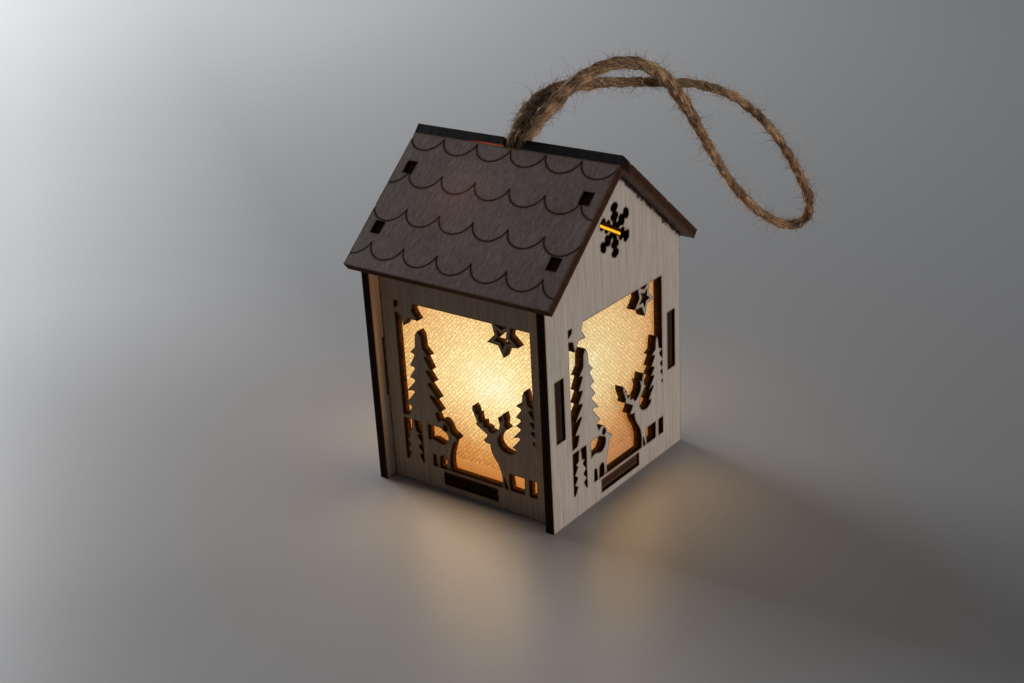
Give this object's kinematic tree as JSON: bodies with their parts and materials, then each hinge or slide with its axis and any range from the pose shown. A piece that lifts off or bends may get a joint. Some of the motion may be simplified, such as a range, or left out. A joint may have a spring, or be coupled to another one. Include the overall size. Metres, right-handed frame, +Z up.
{
  "type": "tealight house",
  "caption": "Small plywood house with fretwork windows, fabric liners and a jute loop; it stands over an LED tealight with a switch and a hinged battery door.",
  "frame": {"origin": "on the table under the middle of the house", "axes": "+Z up, X along the ridge with the gables facing -X and +X, Y across the ridge; the loop hangs towards +X and +Y"},
  "size_m": [0.0729, 0.1174, 0.1059],
  "materials": {
    "plywood_gable": "bare sanded plywood with laser-browned cut edges",
    "plywood_side": "bare sanded plywood with laser-browned cut edges",
    "plywood_roof": "bare sanded plywood, engraved",
    "plywood_base": "bare sanded plywood with laser-browned cut edges",
    "liner_fabric": "cream woven fabric with a fine glitter",
    "jute": "twisted natural jute, hairy",
    "light_plastic": "white moulded plastic",
    "switch_plastic": "black moulded plastic",
    "flame_plastic": "translucent warm plastic",
    "led_resin": "clear amber resin",
    "cell_steel": "plated steel can",
    "contact_metal": "sprung strip"
  },
  "bodies": {
    "light": {"light_case": "light_plastic", "light_base": "light_plastic", "flame_tip": "flame_plastic", "led": "led_resin", "coin_cell": "cell_steel", "positive_contact": "contact_metal", "negative_contact": "contact_metal"},
    "house": {"gable_right": "plywood_gable", "gable_left": "plywood_gable", "side_wall_front": "plywood_side", "side_wall_back": "plywood_side", "roof_front": "plywood_roof", "roof_back": "plywood_roof", "base_plate": "plywood_base", "liner_right": "liner_fabric", "liner_left": "liner_fabric", "liner_front": "liner_fabric", "liner_back": "liner_fabric", "hanging_cord": "jute", "cord_knot": "jute"},
    "switch": {"switch_slider": "switch_plastic"},
    "battery_door": {"battery_door": "light_plastic"}
  },
  "joints": [
    {"name": "house_lift", "type": "slide", "parent": "light", "child": "house", "axis": [0, 0, 1], "range_m": [0, 0.045]},
    {"name": "switch_slide", "type": "slide", "parent": "light", "child": "switch", "axis": [0, 1, 0], "range_m": [0, 0.0025]},
    {"name": "door_hinge", "type": "hinge", "parent": "light", "child": "battery_door", "pos_m": [-0.0126, 0, 0.0018], "axis": [0, 1, 0], "range_deg": [0, 100]}
  ]
}
